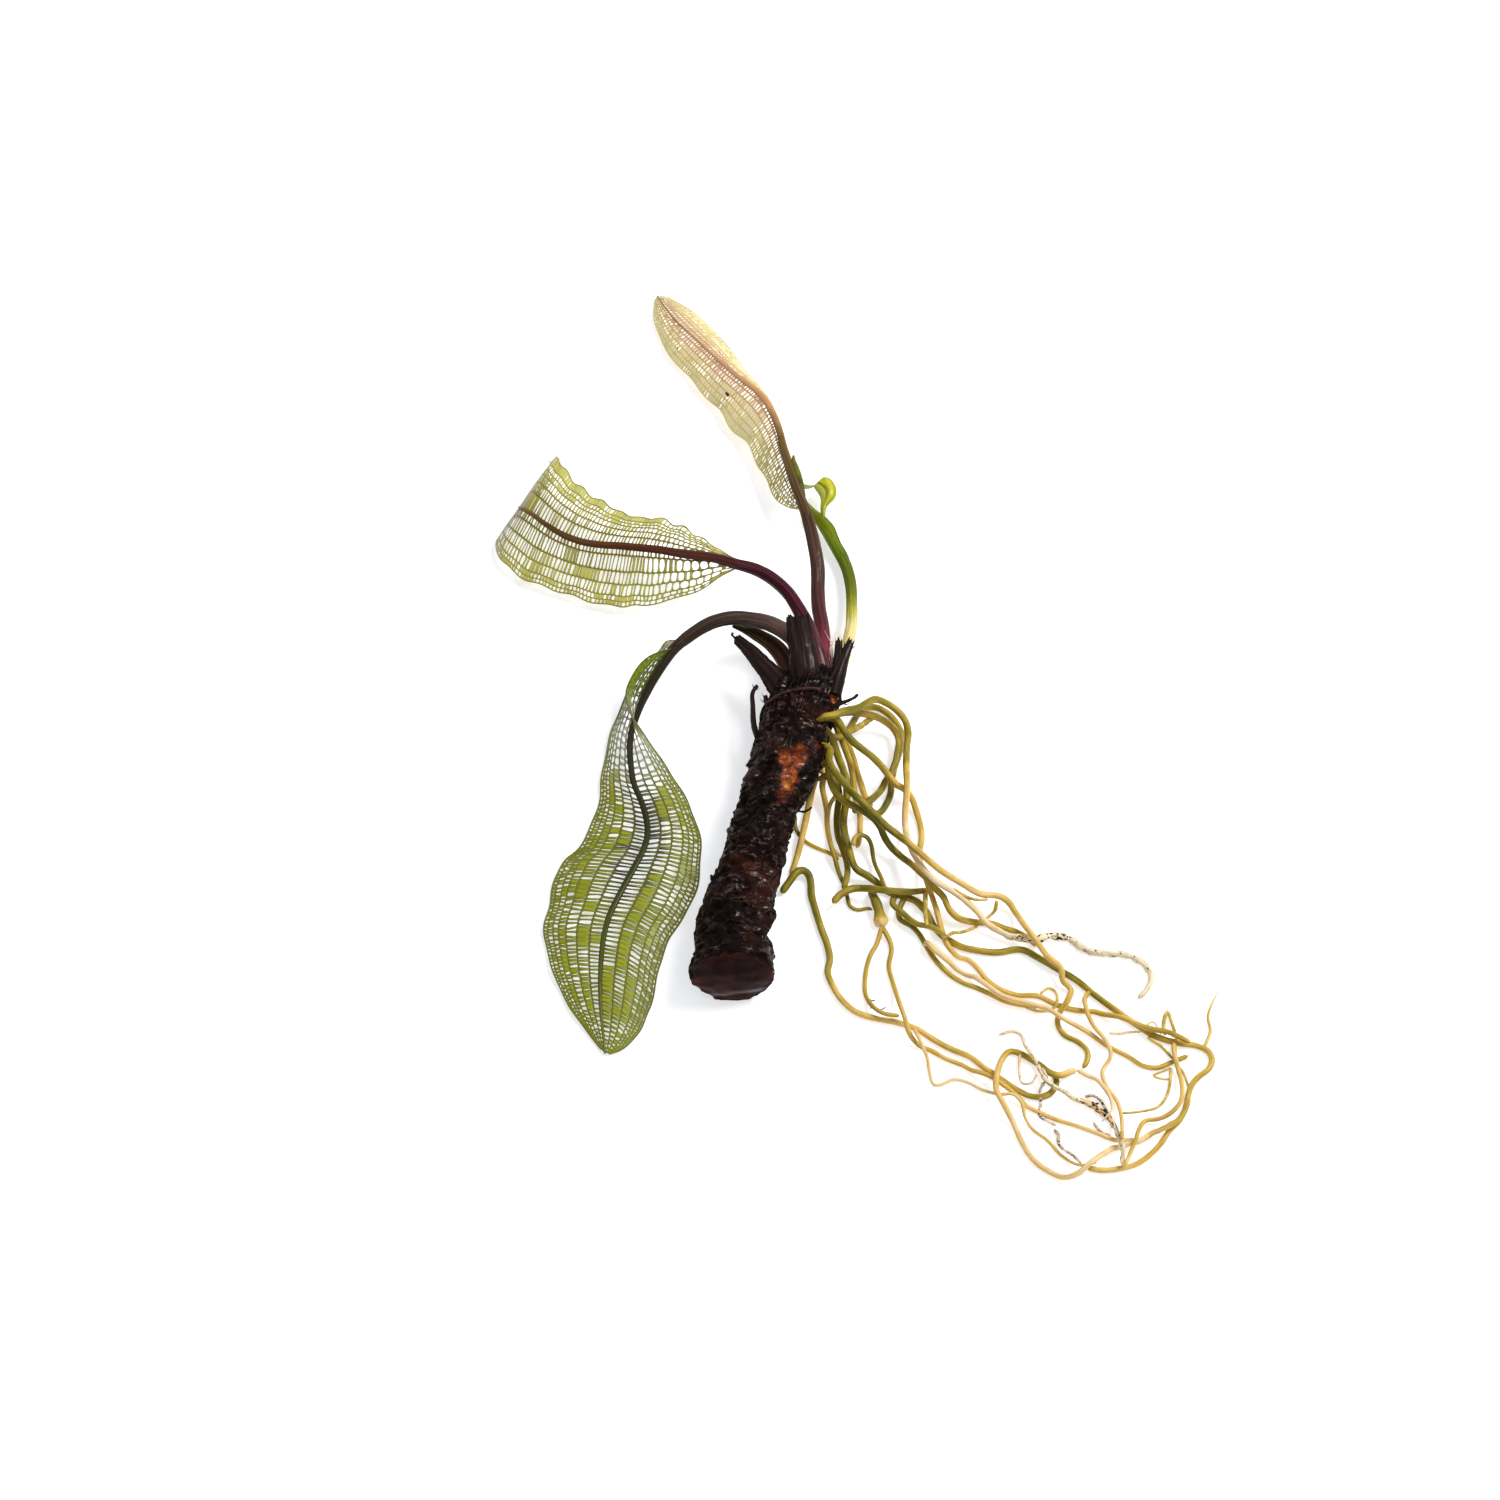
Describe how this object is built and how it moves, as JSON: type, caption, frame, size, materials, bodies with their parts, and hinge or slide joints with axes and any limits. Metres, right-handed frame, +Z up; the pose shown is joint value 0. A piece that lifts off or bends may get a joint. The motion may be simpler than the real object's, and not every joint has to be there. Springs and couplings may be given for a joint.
{
  "type": "madagascar lace plant",
  "caption": "Bare-root aquatic plant lying on its side: thick bark-covered rhizome, long tangled roots, arching stalks and ribbed lattice leaves, one still rolled.",
  "frame": {"origin": "on the surface that the plant lies on, under the middle of the rhizome", "axes": "+Y along the plant from the rhizome's cut end to its crown, +X to the side that the roots spread to, +Z up from the surface"},
  "size_m": [0.1512, 0.2165, 0.0175],
  "materials": {
    "bark": "wet, near-black, fibrous, with a bare orange patch",
    "old_stalk": "dark brown fibres, wet",
    "stalk_crimson": "maroon to crimson, wet, streaked",
    "stalk_brown": "brown-black, wet, streaked",
    "stalk_green": "green, cream at the base, wet",
    "leaf_green": "green lattice with darker veins, damp",
    "leaf_yellow": "yellow-green lattice with olive veins, damp",
    "leaf_tan": "faded peach and tan lattice, damp",
    "leaf_young": "smooth yellow-green, damp",
    "root_olive": "olive, smooth, wet",
    "root_gold": "mustard, smooth, wet",
    "root_pale": "peach to cream, smooth, wet",
    "root_white": "white and rotted, with black specks"
  },
  "bodies": {
    "root": {"rhizome": "bark", "stub_left": "old_stalk", "stub_centre": "old_stalk", "stub_right": "old_stalk", "spur_left": "old_stalk", "spur_nub": "old_stalk", "spur_right": "old_stalk", "stalk_lower": "stalk_brown", "stalk_old": "old_stalk", "stalk_left": "stalk_crimson", "stalk_upper": "stalk_crimson", "stalk_young": "stalk_green", "blade_lower": "leaf_green", "blade_left": "leaf_yellow", "blade_upper": "leaf_tan", "blade_young": "leaf_young", "root_01_thin_left": "root_olive", "root_02_pale_left": "root_gold", "root_03_inner_strand": "root_gold", "root_04_short_run": "root_gold", "root_05_pale_run": "root_gold", "root_06_dark_olive": "root_olive", "root_07_knotted": "root_olive", "root_08_second_loop": "root_olive", "root_09_main_olive": "root_olive", "root_10_hook": "root_olive", "root_11_cross_run": "root_olive", "root_12_hooked_left": "root_gold", "root_13_inner_loop": "root_olive", "root_14_long_diagonal": "root_gold", "root_15_second_green": "root_olive", "root_16_outer_loop": "root_gold", "root_17_green_diagonal": "root_olive", "root_18_thin_left_run": "root_gold", "root_19_straight_gold": "root_gold", "root_20_wandering_pale": "root_pale", "root_21_side_run": "root_olive", "root_22_short_side_run": "root_olive", "root_23_peach_run": "root_pale", "root_24_end_loop": "root_pale", "root_25_rotted_white": "root_white", "root_26_down_run": "root_pale", "root_27_peach_branch": "root_pale", "root_28_right_run": "root_pale", "root_29_thin_tip": "root_white"}
  },
  "joints": []
}
